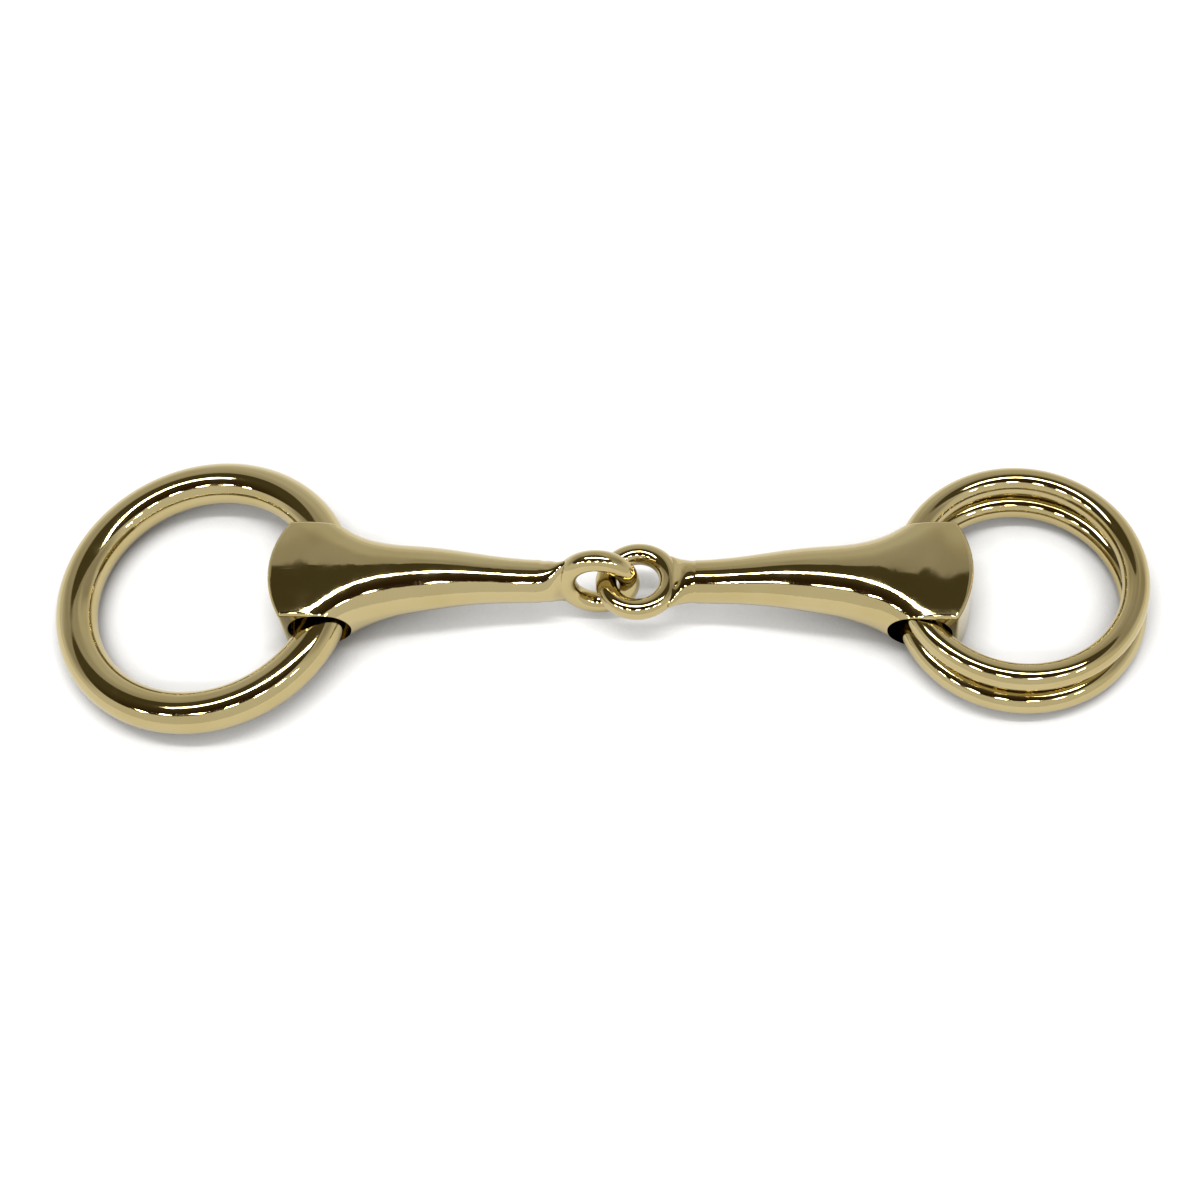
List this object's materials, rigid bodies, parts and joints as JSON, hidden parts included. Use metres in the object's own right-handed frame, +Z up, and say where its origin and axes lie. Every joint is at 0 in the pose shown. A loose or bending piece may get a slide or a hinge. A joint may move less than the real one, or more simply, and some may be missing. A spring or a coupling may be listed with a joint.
{
  "type": "jointed snaffle bit",
  "caption": "Jointed snaffle: cast arms linked by eyes, a heavy loose ring at one end and light stacked rings through the other, for straps or reins to loop round.",
  "frame": {"origin": "on the ground, under the middle of the whole length and width", "axes": "+X along the mouthpiece from the heavy ring towards the light rings, +Y across it away from the viewer, +Z up from the surface it lies on"},
  "size_m": [0.1964, 0.0558, 0.0159],
  "materials": {
    "cast_arm": "polished pale gold plate on a casting",
    "ring_bar": "polished pale gold plate on round bar"
  },
  "bodies": {
    "left_arm": {"left_arm": "cast_arm"},
    "right_arm": {"right_arm": "cast_arm"},
    "large_ring": {"large_ring": "ring_bar"},
    "lower_ring": {"lower_ring": "ring_bar"},
    "upper_ring": {"upper_ring": "ring_bar"}
  },
  "joints": [
    {"name": "eye_fold", "type": "hinge", "parent": "left_arm", "child": "right_arm", "pos_m": [0.00724, 0.0013, 0.00846], "axis": [0, 0, 1], "range_deg": [-110, 110]},
    {"name": "large_ring_swing", "type": "hinge", "parent": "left_arm", "child": "large_ring", "pos_m": [-0.04791, 0.0013, 0.007], "axis": [0, 1, 0], "range_deg": [-120, 120]},
    {"name": "lower_ring_swing", "type": "hinge", "parent": "right_arm", "child": "lower_ring", "pos_m": [0.05829, 0.0013, 0.007], "axis": [0, -1, 0], "range_deg": [-120, 120]},
    {"name": "upper_ring_lift", "type": "hinge", "parent": "lower_ring", "child": "upper_ring", "pos_m": [0.05729, 0.0013, 0.007], "axis": [0, -1, 0], "range_deg": [0, 9]}
  ]
}
